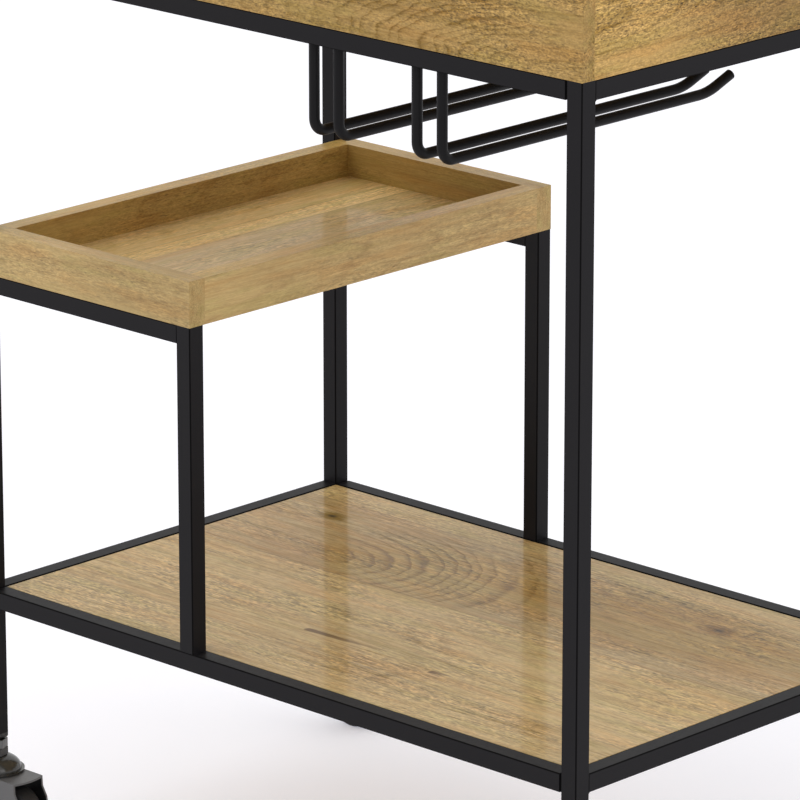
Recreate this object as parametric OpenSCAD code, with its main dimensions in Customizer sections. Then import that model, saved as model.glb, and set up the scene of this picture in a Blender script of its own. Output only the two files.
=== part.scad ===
// Bar cart on casters. Two welded end frames of square tube are joined by long rails
// into a stand, which carries a framed wooden shelf, a half-width tray on two L-shaped
// supports, a deep top box, a hanging rack for stemware and four swivel casters.
//
// +X runs along the cart's length, +Y towards its back and +Z up. The origin is on the
// floor under the middle of the frame. Left is -X, front is -Y. Millimetres.

/* [Frame] */
// Length over the posts
cart_length = 693; // [660:1:800]
// Depth over the posts
cart_depth = 440; // [420:1:500]
// Width of the square tube
tube = 16; // [15.5:0.5:18]
// Wall thickness of the square tube
tube_wall = 1.2; // [1:0.1:1.5]
// Radius of the tube's outer corners
tube_corner = 1.2; // [0.8:0.1:1.8]
// Gap between a long rail and its post, filled by the recessed foot of a spigot
rail_gap = 1.8; // [1:0.1:2.5]

/* [Levels] */
// Height of the bottom rails' underside above the floor
shelf_rail_z = 214; // [210:0.5:228]
// Height of the tray rails' underside above the bottom rails' underside
tray_rail_rise = 282.7; // [250:0.1:300]
// Height of the top rails' underside above the bottom rails' underside
top_rail_rise = 560; // [520:1:580]
// Length of post below the bottom rails' underside
post_drop = 117.5; // [112:0.1:119]

/* [Shelf] */
// Thickness of the shelf panel
shelf_thickness = 12; // [10:0.5:13]
// Depth of the shelf's face below the top of its rails
shelf_recess = 0.6; // [0.5:0.1:1.5]
// Clearance between the shelf panel and its rails
shelf_gap = 1; // [0.5:0.1:2]

/* [Tray] */
// Distance from the right posts' axis to the tray legs' axis
tray_leg_offset = 429.5; // [400:0.5:450]
// Height of the tray's walls
tray_height = 39.6; // [38:0.1:60]
// Thickness of the tray's floor
tray_floor_thickness = 10.5; // [9:0.5:15]
// Thickness of the tray's wall boards
tray_board = 18; // [14:0.5:20]

/* [Top box] */
// Height of the box's walls
box_height = 92; // [76:1:120]
// Thickness of the box's wall boards
box_board = 14; // [13:0.5:16]
// Thickness of the box's floor
box_floor_thickness = 12; // [9:0.5:15]

/* [Stemware rack] */
// Diameter of the rods
rod_d = 8.8; // [7:0.1:9]
// Radius of a rod's lower bend, at its centre line
rod_bend = 11.5; // [7:0.5:14]
// Drop of a rod's level run below the top rail, at its centre line
rod_drop = 73.3; // [60:0.1:80]
// Distance of a rod's upward bend behind the front rail's axis
rod_reach = 316; // [280:1:330]
// Angle of a rod's raised tip
tip_angle = 21; // [15:1:30]
// Length of a rod's raised tip, without its bend
tip_length = 19.4; // [15:0.1:30]
// Distance between the two rods of a slot
rod_spacing = 27; // [24:1:32]
// Distance between the two slots
slot_pitch = 112.5; // [100:0.5:120]

/* [Casters] */
// Diameter over the tyre
wheel_d = 52; // [49:1:52]
// Width of the tyre
tyre_w = 20; // [18:1:22]
// Horizontal distance from the swivel axis to the axle
trail = 26; // [24:0.5:27]
// Height of the fork's top plate above the floor
fork_top = 62; // [61:0.5:63]
// Width over the fork's legs
fork_w = 34.4; // [32:0.1:36]
// Diameter of the domed raceway cover
dome_d = 44.4; // [42:0.1:46]
// Diameter of the threaded stem and the swivel pin
stem_d = 10; // [8:0.5:12]

/* [Hidden] */
$fn = 64;
EPS = 0.05;       // clearance of a fastener, dowel or insert in its own hole
RUNNING = 0.06;   // radial clearance of a turning joint
CUT = 1;          // how far a cutting shape runs past the face it cuts

STEEL_BLACK = "#2a2a2c";
STEEL_GREY = "#5c5d5c";
ZINC = "#8a8c8b";
WOOD = "#c8a673";
WOOD_DARK = "#b9955f";
PLASTIC = "#1d1d1e";
RUBBER = "#232324";

// Each corner: its name, its side along X and its side along Y
CORNERS = [
    ["front_left", -1, -1], ["front_right", 1, -1],
    ["back_left", -1, 1], ["back_right", 1, 1]
];
SIDES_X = [["left", -1], ["right", 1]];
SIDES_Y = [["front", -1], ["back", 1]];
// Each level of rails: its name and the height of its axis
LEVELS = [
    ["bottom", shelf_rail_z + tube / 2],
    ["top", shelf_rail_z + top_rail_rise + tube / 2]
];
// Each rod: its name and its place along the rack, in slots and in rods
RODS = [["outer_left", -1, -1], ["inner_left", -1, 1], ["inner_right", 1, -1], ["outer_right", 1, 1]];

// Frame
half_l = cart_length / 2;
half_d = cart_depth / 2;
post_x = half_l - tube / 2;
post_y = half_d - tube / 2;
inner_x = half_l - tube;
inner_y = half_d - tube;
post_end_z = shelf_rail_z - post_drop;
shelf_rail_top = shelf_rail_z + tube;
top_rail_z = shelf_rail_z + top_rail_rise;
top_rail_top = top_rail_z + tube;
tray_rail_z = shelf_rail_z + tray_rail_rise;
tray_rail_top = tray_rail_z + tube;
tube_inner = tube - 2 * tube_wall;
rail_end_x = inner_x - rail_gap;

// Bolted joints between the long rails and the posts
spigot_foot = tube - 1.4;         // recessed inside the tube's outline
plug_side = tube_inner - 0.4;      // of a spigot or insert inside a tube
spigot_length = 28;
joint_screw_r = 3;
joint_screw_inset = 15;           // from the rail's end
joint_screw_length = 11;
joint_screw_play = 0.2;           // radial, in the rail's wall
joint_screw_head_r = 5.2;
joint_screw_head_h = 2.2;
joint_screw_socket_r = 2;         // to the corners of its hexagon
joint_screw_socket_depth = 1.6;

// Wood screws
wood_screw_r = 2;
wood_screw_head_r = 4;
wood_screw_head_h = 2.4;
wood_screw_slot = [4.4, 1, 1.4];  // length, width and depth of each slot of the cross
wood_screw_bite = 14;
panel_screw_bite = 8;
box_screw_x = [-0.36 * cart_length, 0, 0.36 * cart_length];

// Tabs under the shelf
tab_length = 30;
tab_reach = 20;
tab_thickness = 2.5;
tab_x = 0.22 * cart_length;
shelf_top_z = shelf_rail_top - shelf_recess;
shelf_bottom_z = shelf_top_z - shelf_thickness;
TABS = [
    [-tab_x, -inner_y, 0], [tab_x, -inner_y, 0], [-tab_x, inner_y, 180],
    [tab_x, inner_y, 180], [-inner_x, 0, -90], [inner_x, 0, 90]
];

// Tray
tray_leg_x = post_x - tray_leg_offset;
tray_right_x = tray_leg_x + tube / 2;
tray_post_gap = 0.5;
tray_left_x = -inner_x + tray_post_gap;
tray_mid_x = (tray_left_x + tray_right_x) / 2;
tray_screw_pitch = 140;
tray_screw_x = [for (s = [-1, 1]) tray_mid_x + s * tray_screw_pitch / 2];

// Dowels
dowel_r = 3;
dowel_in_face = 8;
dowel_in_end = 20;
box_dowel_inset = 25;
box_dowel_z = [box_dowel_inset, box_height - box_dowel_inset];

// Rack
rack_x = (inner_x + tray_right_x) / 2;
rod_run_z = top_rail_z - rod_drop;
tip_bend = 60;                    // radius of the upward bend at its centre line
tip_step = 0.05;                  // the dressed tip is this much thinner all round
tip_entry = 0.5;                  // how far the dressed tip reaches into its bend

// Caster levels, upwards from the floor
axle_z = wheel_d / 2;
fork_sheet = 1.8;
pin_head_h = 2;
pin_head_r = 8.5;
pin_head_gap = 0.3;
dome_z = fork_top + 0.7;
dome_top_z = fork_top + 14.5;
dome_cut = 0.8;                   // of its crown, cut flat under the hexagon
dome_steps = 14;
dome_lip_r = dome_d / 2 + 2.6;
dome_lip_h = 1.4;
stem_hex_z = dome_top_z;
stem_hex_h = 6.8;
hex_r = 10.6;                     // corner radius of the stem's hexagon and the lock nut
hex_turn = 43;
lock_nut_turn = 51;
cap_h = 5.2;
cap_round = 3.5;
lock_nut_z = stem_hex_z + stem_hex_h;
cap_z = post_end_z - cap_h;
insert_depth = 22;
ball_r = 2;
ball_ring_r = 17;
ball_count = 14;
race_play = 0.4;                  // beside the balls
race_headroom = 0.2;

// Fork outline
seat_r = 23.5;                    // round seat under the raceway cover
plate_back = -13;                 // leading end of the legs, from the swivel axis
plate_front = 43.4;               // crown of the curved trailing edge
plate_bow = 3;                    // rise of that edge over the fork's width
plate_skirt = 7;                  // height of the legs at their leading end
leg_boss_r = 12.5;
// Trailing edge of a leg: steps out from the plate's corner and down from its top
LEG_TAIL = [[0.5, 9], [5.6, 17.5], [6.9, 23.5], [5.2, 29.5]];
plate_edge_r = ((fork_w / 2) ^ 2 + plate_bow ^ 2) / (2 * plate_bow);

// Wheel
axle_r = 3;
axle_head_r = 5.8;
axle_head_h = 4;
axle_nut_h = 5;
hub_boss_r = 8;
hub_web = 6;
hub_rim_r = 19.4;
hub_rim_t = 2.4;
hub_side_gap = 0.5;
tyre_round = 4;
tyre_ridge = 1.5;
fork_inner = fork_w / 2 - fork_sheet;

// ---- Stock shapes ----

module rounded_square(side, r) {
    square([side, side - 2 * r], center = true);
    square([side - 2 * r, side], center = true);
    for (sx = [-1, 1], sy = [-1, 1])
        translate([sx, sy] * (side / 2 - r)) circle(r = r);
}

module tube_profile() {
    difference() {
        rounded_square(tube, tube_corner);
        square(tube_inner, center = true);
    }
}

module tube_z(z0, z1) {
    translate([0, 0, z0]) linear_extrude(z1 - z0) tube_profile();
}

module tube_x(x0, x1) {
    translate([x0, 0, 0]) rotate([0, 90, 0]) linear_extrude(x1 - x0) tube_profile();
}

module tube_y(y0, y1) {
    translate([0, y0, 0]) rotate([-90, 0, 0]) linear_extrude(y1 - y0) tube_profile();
}

// A board given by its lowest and highest corners
module board_between(low, high) {
    translate(low) cube(high - low);
}

module hex_bar(corner_r, height) {
    linear_extrude(height) circle(r = corner_r, $fn = 6);
}

// Countersunk screw without its slot, pointing up from the flat face of its head
module screw_blank(shank_r, head_r, head_h, length) {
    rotate_extrude()
        polygon([[0, 0], [head_r, 0], [shank_r, head_h], [shank_r, length], [0, length]]);
}

// Its hole and countersink, wider all round by the play and open below
module screw_sink(shank_r, head_r, head_h, length, play) {
    rotate_extrude() polygon([
        [0, -CUT], [head_r + play, -CUT], [head_r + play, 0],
        [shank_r + play, head_h], [shank_r + play, length + EPS], [0, length + EPS]
    ]);
}

module wood_screw(length) {
    difference() {
        screw_blank(wood_screw_r, wood_screw_head_r, wood_screw_head_h, length);
        for (turn = [0, 90]) rotate(turn)
            translate([-wood_screw_slot.x / 2, -wood_screw_slot.y / 2, -CUT])
                cube(wood_screw_slot + [0, 0, CUT]);
    }
}

module wood_screw_sink(length) {
    screw_sink(wood_screw_r, wood_screw_head_r, wood_screw_head_h, length, EPS);
}

// The plain part of its hole, in the wood above the countersunk steel
module wood_screw_hole(length) {
    translate([0, 0, -CUT]) cylinder(r = wood_screw_r + EPS, h = length + CUT + EPS);
}

// ---- Welded end frames ----

module post(corner) {
    color(STEEL_BLACK)
        translate([corner[1] * post_x, corner[2] * post_y, 0]) tube_z(post_end_z, top_rail_top);
}

module side_rail(level, side) {
    color(STEEL_BLACK) translate([side * post_x, 0, level[1]]) difference() {
        tube_y(-inner_y, inner_y);
        if (level[0] == "top") translate([0, 0, -tube / 2]) wood_screw_sink(tube + CUT);
    }
}

// ---- Long rails and their joints ----

module joint_screw_sink(play) {
    screw_sink(joint_screw_r, joint_screw_head_r, joint_screw_head_h, joint_screw_length, play);
}

module joint_screw_holes(ends) {
    for (x = ends) translate([x, 0, -tube / 2]) joint_screw_sink(joint_screw_play);
}

module long_rail(level, side) {
    color(STEEL_BLACK) translate([0, side * post_y, level[1]]) difference() {
        tube_x(-rail_end_x, rail_end_x);
        joint_screw_holes([-1, 1] * (rail_end_x - joint_screw_inset));
        if (level[0] == "top")
            for (x = box_screw_x) translate([x, 0, -tube / 2]) wood_screw_sink(tube + CUT);
    }
}

module tray_rail(side) {
    color(STEEL_BLACK) translate([0, side * post_y, tray_rail_z + tube / 2]) difference() {
        tube_x(-rail_end_x, tray_leg_x - tube / 2);
        joint_screw_holes([-rail_end_x + joint_screw_inset]);
        for (x = tray_screw_x) translate([x, 0, -tube / 2]) wood_screw_sink(tube + CUT);
    }
}

module tray_leg(side) {
    color(STEEL_BLACK)
        translate([tray_leg_x, side * post_y, 0]) tube_z(shelf_rail_top, tray_rail_top);
}

// Places its child at each bolted joint, with +X pointing out of the post
module at_joints() {
    for (sy = [-1, 1]) {
        for (sx = [-1, 1], level = LEVELS)
            translate([sx * inner_x, sy * post_y, level[1]]) mirror([sx > 0 ? 1 : 0, 0, 0]) children();
        translate([-inner_x, sy * post_y, tray_rail_z + tube / 2]) children();
    }
}

module spigot() {
    difference() {
        union() {
            translate([rail_gap / 2, 0, 0]) cube([rail_gap, spigot_foot, spigot_foot], center = true);
            translate([0, -plug_side / 2, -plug_side / 2])
                cube([rail_gap + spigot_length, plug_side, plug_side]);
        }
        translate([rail_gap + joint_screw_inset, 0, -tube / 2]) joint_screw_sink(EPS);
    }
}

module joint_spigots() {
    color(STEEL_BLACK) at_joints() spigot();
}

module joint_screw() {
    difference() {
        screw_blank(joint_screw_r, joint_screw_head_r, joint_screw_head_h, joint_screw_length);
        translate([0, 0, -CUT]) hex_bar(joint_screw_socket_r, joint_screw_socket_depth + CUT);
    }
}

module joint_screws() {
    color(ZINC) at_joints() translate([rail_gap + joint_screw_inset, 0, -tube / 2]) joint_screw();
}

// ---- Shelf ----

// Places its child at each tab, with +Y pointing from the rail towards the shelf
module at_tabs() {
    for (t = TABS) translate([t[0], t[1], 0]) rotate(t[2]) children();
}

module shelf_tabs() {
    color(STEEL_BLACK) at_tabs() difference() {
        translate([-tab_length / 2, 0, shelf_bottom_z - tab_thickness])
            cube([tab_length, tab_reach, tab_thickness]);
        translate([0, tab_reach / 2, shelf_bottom_z - tab_thickness])
            wood_screw_sink(tab_thickness + CUT);
    }
}

module shelf_panel() {
    color(WOOD) difference() {
        board_between(
            [-inner_x + shelf_gap, -inner_y + shelf_gap, shelf_bottom_z],
            [inner_x - shelf_gap, inner_y - shelf_gap, shelf_top_z]
        );
        at_tabs() translate([0, tab_reach / 2, shelf_bottom_z]) wood_screw_hole(panel_screw_bite);
    }
}

module shelf_screws() {
    color(ZINC) at_tabs() translate([0, tab_reach / 2, shelf_bottom_z - tab_thickness])
        wood_screw(tab_thickness + panel_screw_bite);
}

// ---- Tray and top box ----

// Dowels that join the long boards to the ends of the side boards at four corners
module corner_dowels(x0, x1, z, board, grow = 0) {
    for (x = [x0 + board / 2, x1 - board / 2], sy = [-1, 1], dz = z)
        translate([x, sy * (half_d - board - dowel_in_end - grow), dz]) rotate([-90 * sy, 0, 0])
            cylinder(r = dowel_r + grow, h = dowel_in_end + dowel_in_face + 2 * grow);
}

module tray_dowel_shapes(grow = 0) {
    corner_dowels(tray_left_x, tray_right_x, [tray_rail_top + tray_height / 2], tray_board, grow);
}

module tray_screw_holes() {
    for (x = tray_screw_x, sy = [-1, 1])
        translate([x, sy * post_y, tray_rail_top]) wood_screw_hole(wood_screw_bite);
}

module tray_long_board(side) {
    y0 = min(side * half_d, side * (half_d - tray_board));
    color(WOOD) difference() {
        board_between(
            [tray_left_x, y0, tray_rail_top],
            [tray_right_x, y0 + tray_board, tray_rail_top + tray_height]
        );
        tray_dowel_shapes(EPS);
        tray_screw_holes();
    }
}

module tray_side_board(side) {
    x0 = side < 0 ? tray_left_x : tray_right_x - tray_board;
    color(WOOD_DARK) difference() {
        board_between(
            [x0, -half_d + tray_board, tray_rail_top],
            [x0 + tray_board, half_d - tray_board, tray_rail_top + tray_height]
        );
        tray_dowel_shapes(EPS);
    }
}

module tray_floor() {
    color(WOOD) board_between(
        [tray_left_x + tray_board, -half_d + tray_board, tray_rail_top],
        [tray_right_x - tray_board, half_d - tray_board, tray_rail_top + tray_floor_thickness]
    );
}

module tray_dowels() {
    color(WOOD_DARK) tray_dowel_shapes();
}

module tray_screws() {
    color(ZINC) for (x = tray_screw_x, sy = [-1, 1])
        translate([x, sy * post_y, tray_rail_z]) wood_screw(tube + wood_screw_bite);
}

module box_dowel_shapes(grow = 0) {
    corner_dowels(-half_l, half_l, [for (z = box_dowel_z) top_rail_top + z], box_board, grow);
}

// Places its child under each screw of the box, at the height z
module at_box_screws(z) {
    for (x = box_screw_x, sy = [-1, 1]) translate([x, sy * post_y, z]) children();
    for (sx = [-1, 1]) translate([sx * post_x, 0, z]) children();
}

module box_long_board(side) {
    y0 = min(side * half_d, side * (half_d - box_board));
    color(WOOD) difference() {
        board_between([-half_l, y0, top_rail_top], [half_l, y0 + box_board, top_rail_top + box_height]);
        box_dowel_shapes(EPS);
        at_box_screws(top_rail_top) wood_screw_hole(wood_screw_bite);
    }
}

module box_side_board(side) {
    x0 = min(side * half_l, side * (half_l - box_board));
    color(WOOD_DARK) difference() {
        board_between(
            [x0, -half_d + box_board, top_rail_top],
            [x0 + box_board, half_d - box_board, top_rail_top + box_height]
        );
        box_dowel_shapes(EPS);
        at_box_screws(top_rail_top) wood_screw_hole(wood_screw_bite);
    }
}

module box_floor() {
    color(WOOD) board_between(
        [-half_l + box_board, -half_d + box_board, top_rail_top],
        [half_l - box_board, half_d - box_board, top_rail_top + box_floor_thickness]
    );
}

module box_dowels() {
    color(WOOD_DARK) box_dowel_shapes();
}

module box_screws() {
    color(ZINC) at_box_screws(top_rail_z) wood_screw(tube + wood_screw_bite);
}

// ---- Stemware rack ----

module rod_stretch(length) {
    cylinder(d = rod_d, h = length);
}

module dressed_tip() {
    translate([0, 0, -tip_entry]) cylinder(d = rod_d - 2 * tip_step, h = tip_entry + tip_length);
}

// A part turn of rod in the YZ plane, from +Y towards +Z
module rod_arc(radius, angle) {
    rotate([90, 0, 90]) rotate_extrude(angle = angle) translate([radius, 0]) circle(d = rod_d);
}

// One bent rod, hanging from the front rail: down, back along +Y, then up at its tip
module rod(place) {
    run_length = rod_reach - rod_bend - tip_bend * tan(tip_angle / 2);
    color(STEEL_BLACK)
        translate([rack_x + place[1] * slot_pitch / 2 + place[2] * rod_spacing / 2, -post_y, rod_run_z]) {
            translate([0, 0, rod_bend]) rod_stretch(rod_drop - rod_bend);
            translate([0, rod_bend, rod_bend]) rotate([180, 0, 0]) rod_arc(rod_bend, 90);
            translate([0, rod_bend, 0]) rotate([-90, 0, 0]) rod_stretch(run_length);
            translate([0, rod_bend + run_length, tip_bend]) {
                rotate([-90, 0, 0]) rod_arc(tip_bend, tip_angle);
                rotate([tip_angle, 0, 0]) translate([0, 0, -tip_bend]) rotate([-90, 0, 0])
                    dressed_tip();
            }
        }
}

// ---- Casters ----

// Places its child at each caster; the casters trail towards the middle of the cart
module at_caster(corner) {
    translate([corner[1] * post_x, corner[2] * post_y, 0])
        rotate(corner[1] < 0 ? 0 : 180) children();
}

module at_casters() {
    for (c = CORNERS) at_caster(c) children();
}

module cap_outline() {
    intersection() {
        translate([-tube / 2, 0]) square([tube, cap_h]);
        union() {
            translate([-tube / 2, cap_round]) square([tube, cap_h]);
            translate([-tube / 2 + cap_round, 0]) square([tube - 2 * cap_round, cap_h]);
            for (s = [-1, 1]) translate([s * (tube / 2 - cap_round), cap_round]) circle(r = cap_round);
        }
    }
}

// The cap's outline carried along one of its two directions
module cap_bar(turn) {
    rotate(turn) translate([0, tube, 0]) rotate([90, 0, 0]) linear_extrude(2 * tube) cap_outline();
}

// Threaded plug in a post's lower end, with a rounded cap below it
module post_insert() {
    difference() {
        union() {
            intersection() {
                cap_bar(0);
                cap_bar(90);
                linear_extrude(cap_h) rounded_square(tube, tube_corner);
            }
            translate([-plug_side / 2, -plug_side / 2, cap_h - EPS])
                cube([plug_side, plug_side, insert_depth + EPS]);
        }
        translate([0, 0, -CUT]) cylinder(d = stem_d + 2 * EPS, h = cap_h + insert_depth + 2 * CUT);
    }
}

module post_inserts() {
    color(PLASTIC) at_casters() translate([0, 0, cap_z]) post_insert();
}

module lock_nuts() {
    color(ZINC) at_casters() translate([0, 0, lock_nut_z]) difference() {
        rotate(lock_nut_turn) hex_bar(hex_r, cap_z - lock_nut_z);
        translate([0, 0, -CUT]) cylinder(d = stem_d + 2 * EPS, h = cap_z - lock_nut_z + 2 * CUT);
    }
}

// Threaded stem, its hexagon, the swivel pin and the pin's riveted head, in one piece
module caster_stem() {
    pin_bottom = fork_top - fork_sheet - pin_head_gap - pin_head_h;
    translate([0, 0, pin_bottom]) cylinder(r = pin_head_r, h = pin_head_h);
    translate([0, 0, pin_bottom]) cylinder(d = stem_d, h = cap_z + cap_h + insert_depth - pin_bottom);
    translate([0, 0, stem_hex_z]) rotate(hex_turn) hex_bar(hex_r, stem_hex_h);
}

module caster_stems() {
    color(ZINC) at_casters() caster_stem();
}

// Domed cover over the ball race, with a lip that shades the fork's seat
module raceway_cover() {
    dome_r = dome_d / 2;
    dome_h = dome_top_z - dome_z - dome_lip_h;
    hole_r = stem_d / 2 + EPS;
    race_in = ball_ring_r - ball_r - race_play;
    race_out = ball_ring_r + ball_r + race_play;
    race_z = fork_top + 2 * ball_r + race_headroom;
    crown = dome_h + dome_cut;
    flat_angle = asin(dome_h / crown);
    rotate_extrude() polygon(concat(
        [
            [hole_r, dome_z], [race_in, dome_z], [race_in, race_z], [race_out, race_z],
            [race_out, dome_z], [dome_lip_r, dome_z], [dome_lip_r, dome_z + dome_lip_h]
        ],
        [for (i = [0:dome_steps]) [
            dome_r * cos(flat_angle * i / dome_steps),
            dome_z + dome_lip_h + crown * sin(flat_angle * i / dome_steps)
        ]],
        [[hole_r, dome_top_z]]
    ));
}

module raceway_covers() {
    color(STEEL_GREY) at_casters() raceway_cover();
}

module raceway_balls() {
    color(ZINC) at_casters() for (i = [0:ball_count - 1])
        rotate(360 * i / ball_count) translate([ball_ring_r, 0, fork_top + EPS + ball_r])
            sphere(r = ball_r);
}

module fork_plate_outline() {
    circle(r = seat_r);
    intersection() {
        translate([plate_back, -fork_w / 2]) square([plate_front - plate_back, fork_w]);
        translate([plate_front - plate_edge_r, 0]) circle(r = plate_edge_r);
    }
}

function on_boss(angle) = [trail, axle_z] + leg_boss_r * [cos(angle), sin(angle)];

// Side view of a leg: x along the trail, y up
module fork_leg_outline() {
    corner_x = plate_front - plate_bow;
    difference() {
        union() {
            polygon(concat(
                [[plate_back, fork_top], [corner_x, fork_top]],
                [for (step = LEG_TAIL) [corner_x + step.x, fork_top - step.y]],
                [on_boss(-50), on_boss(-130), on_boss(156), [plate_back, fork_top - plate_skirt]]
            ));
            translate([trail, axle_z]) circle(r = leg_boss_r);
        }
        translate([trail, axle_z]) circle(r = axle_r + EPS);
    }
}

module fork() {
    color(STEEL_GREY) difference() {
        union() {
            translate([0, 0, fork_top - fork_sheet]) linear_extrude(fork_sheet) fork_plate_outline();
            for (y = [-fork_w / 2 + fork_sheet, fork_w / 2])
                translate([0, y, 0]) rotate([90, 0, 0]) linear_extrude(fork_sheet) fork_leg_outline();
        }
        translate([0, 0, fork_top - fork_sheet - CUT])
            cylinder(r = stem_d / 2 + RUNNING, h = fork_sheet + 2 * CUT);
    }
}

// Axle bolt with its head on one side of the fork and its nut on the other
module axle() {
    nut_y = fork_w / 2;
    color(ZINC) translate([trail, 0, axle_z]) {
        rotate([90, 0, 0]) translate([0, 0, -nut_y - axle_nut_h - CUT])
            cylinder(r = axle_r, h = 2 * nut_y + axle_nut_h + CUT);
        translate([0, -nut_y, 0]) rotate([90, 0, 0]) hex_bar(axle_head_r, axle_head_h);
        translate([0, nut_y, 0]) rotate([-90, 0, 0]) difference() {
            hex_bar(axle_head_r, axle_nut_h);
            translate([0, 0, -CUT]) cylinder(r = axle_r + EPS, h = axle_nut_h + 2 * CUT);
        }
    }
}

// Places its child on the axle, with +Z along the axle
module on_axle() {
    translate([trail, 0, axle_z]) rotate([90, 0, 0]) children();
}

module hub() {
    boss_half = fork_inner - hub_side_gap;
    bore = axle_r + RUNNING;
    rim_in = hub_rim_r - hub_rim_t;
    color(PLASTIC) on_axle() rotate_extrude() {
        translate([bore, -boss_half]) square([hub_boss_r - bore, 2 * boss_half]);
        translate([bore, -hub_web / 2]) square([rim_in + CUT - bore, hub_web]);
        translate([rim_in, -tyre_w / 2]) square([hub_rim_t, tyre_w]);
        translate([rim_in, -tyre_w / 6]) square([hub_rim_t + tyre_ridge, tyre_w / 3]);
    }
}

module tyre() {
    color(RUBBER) on_axle() rotate_extrude() difference() {
        intersection() {
            translate([0, -tyre_w / 2]) square([wheel_d / 2, tyre_w]);
            union() {
                translate([0, -tyre_w / 2]) square([wheel_d / 2 - tyre_round, tyre_w]);
                translate([0, -tyre_w / 2 + tyre_round]) square([wheel_d / 2, tyre_w - 2 * tyre_round]);
                for (s = [-1, 1]) translate([wheel_d / 2 - tyre_round, s * (tyre_w / 2 - tyre_round)])
                    circle(r = tyre_round);
            }
        }
        translate([-CUT, -tyre_w]) square([hub_rim_r + CUT, 2 * tyre_w]);
        translate([0, -tyre_w / 6 - EPS]) square([hub_rim_r + tyre_ridge + EPS, tyre_w / 3 + 2 * EPS]);
    }
}

// ---- Assembly ----

for (c = CORNERS) {
    post(c);
    at_caster(c) fork();
    at_caster(c) axle();
    at_caster(c) hub();
    at_caster(c) tyre();
}
for (l = LEVELS) {
    for (s = SIDES_X)
        side_rail(l, s[1]);
    for (s = SIDES_Y)
        long_rail(l, s[1]);
}
for (s = SIDES_Y) {
    tray_rail(s[1]);
    tray_leg(s[1]);
    tray_long_board(s[1]);
    box_long_board(s[1]);
}
for (s = SIDES_X) {
    tray_side_board(s[1]);
    box_side_board(s[1]);
}
for (r = RODS)
    rod(r);
joint_spigots();
joint_screws();
shelf_tabs();
shelf_panel();
shelf_screws();
tray_floor();
tray_dowels();
tray_screws();
box_floor();
box_dowels();
box_screws();
post_inserts();
lock_nuts();
caster_stems();
raceway_covers();
raceway_balls();
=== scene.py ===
"""Looks of the bar cart: wood, powder coat, caster metal and rubber, welds, wheel
mouldings, studio light and camera. Metres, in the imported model's own frame."""

import math

import bmesh
import bpy
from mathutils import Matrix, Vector


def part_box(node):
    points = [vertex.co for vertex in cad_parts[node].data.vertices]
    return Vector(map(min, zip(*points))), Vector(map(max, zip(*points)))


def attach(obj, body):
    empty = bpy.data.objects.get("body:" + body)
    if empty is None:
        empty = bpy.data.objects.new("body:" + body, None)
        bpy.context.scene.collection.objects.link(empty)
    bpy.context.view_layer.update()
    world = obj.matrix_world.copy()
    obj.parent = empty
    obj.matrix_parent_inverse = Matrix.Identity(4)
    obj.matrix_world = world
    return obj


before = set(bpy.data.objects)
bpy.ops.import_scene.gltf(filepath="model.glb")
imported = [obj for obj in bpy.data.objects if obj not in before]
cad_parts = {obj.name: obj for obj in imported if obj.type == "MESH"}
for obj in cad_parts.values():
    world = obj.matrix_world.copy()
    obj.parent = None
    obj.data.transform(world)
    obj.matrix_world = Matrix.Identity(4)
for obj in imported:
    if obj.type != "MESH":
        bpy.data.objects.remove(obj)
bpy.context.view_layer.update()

MM = 0.001
CORNERS = ("front_left", "front_right", "back_left", "back_right")
ROD_NAMES = ("outer_left", "inner_left", "inner_right", "outer_right")
X, Y, Z = 0, 1, 2


# ---- Material graphs -------------------------------------------------------------


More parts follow.
